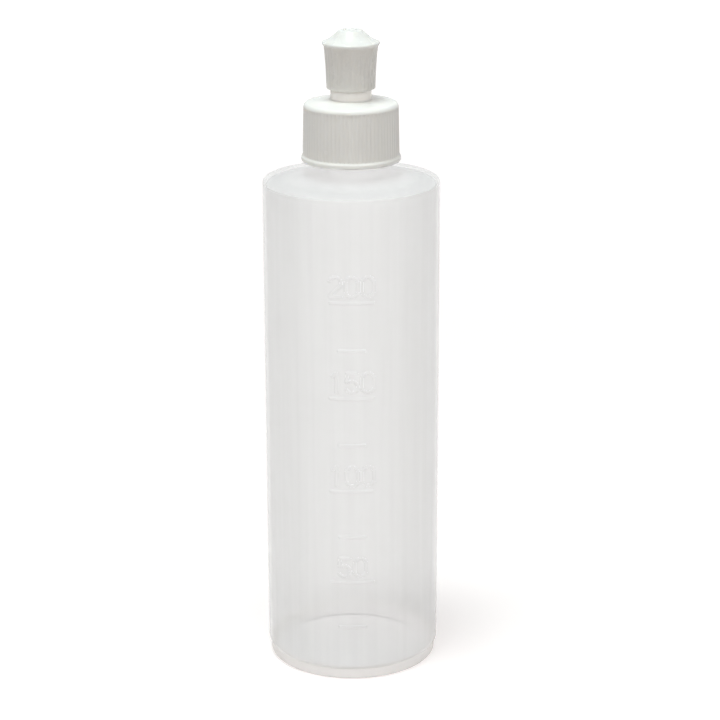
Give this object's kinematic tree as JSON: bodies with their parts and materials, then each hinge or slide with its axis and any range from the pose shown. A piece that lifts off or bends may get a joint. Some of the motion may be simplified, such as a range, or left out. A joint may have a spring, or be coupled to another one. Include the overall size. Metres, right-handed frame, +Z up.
{
  "type": "peri bottle",
  "caption": "Squeeze rinse bottle: round translucent plastic body, ribbed screw cap and push-pull spout with a sealing pin, shown closed.",
  "frame": {"origin": "centre of the foot ring's underside, on the surface that the bottle stands on", "axes": "+Z up along the bottle's axis; the body is round, so +X and +Y are free, and +X looks to the right in the picture"},
  "size_m": [0.05, 0.05, 0.185],
  "materials": {
    "natural_plastic": "milky translucent low-density polyethylene, satin",
    "liner_foam": "matt closed-cell foam",
    "cap_plastic": "white polypropylene, satin",
    "spout_plastic": "white polyethylene, satin"
  },
  "bodies": {
    "bottle": {"bottle": "natural_plastic"},
    "liner": {"sealing_liner": "liner_foam"},
    "cap": {"screw_cap": "cap_plastic"},
    "spout": {"pull_spout": "spout_plastic"}
  },
  "joints": [
    {"name": "cap_rise", "type": "slide", "parent": "bottle", "child": "liner", "axis": [0, 0, 1], "range_m": [0, 0.01906]},
    {"name": "cap_turn", "type": "hinge", "parent": "liner", "child": "cap", "pos_m": [0, 0, 0.155], "axis": [0, 0, 1], "range_deg": [0, 2160]},
    {"name": "spout_pull", "type": "slide", "parent": "cap", "child": "spout", "axis": [0, 0, 1], "range_m": [0, 0.0035]}
  ],
  "couplings": [
    {"joint": "cap_rise", "follows": "cap_turn", "m_per_rad": 0.00050532}
  ]
}
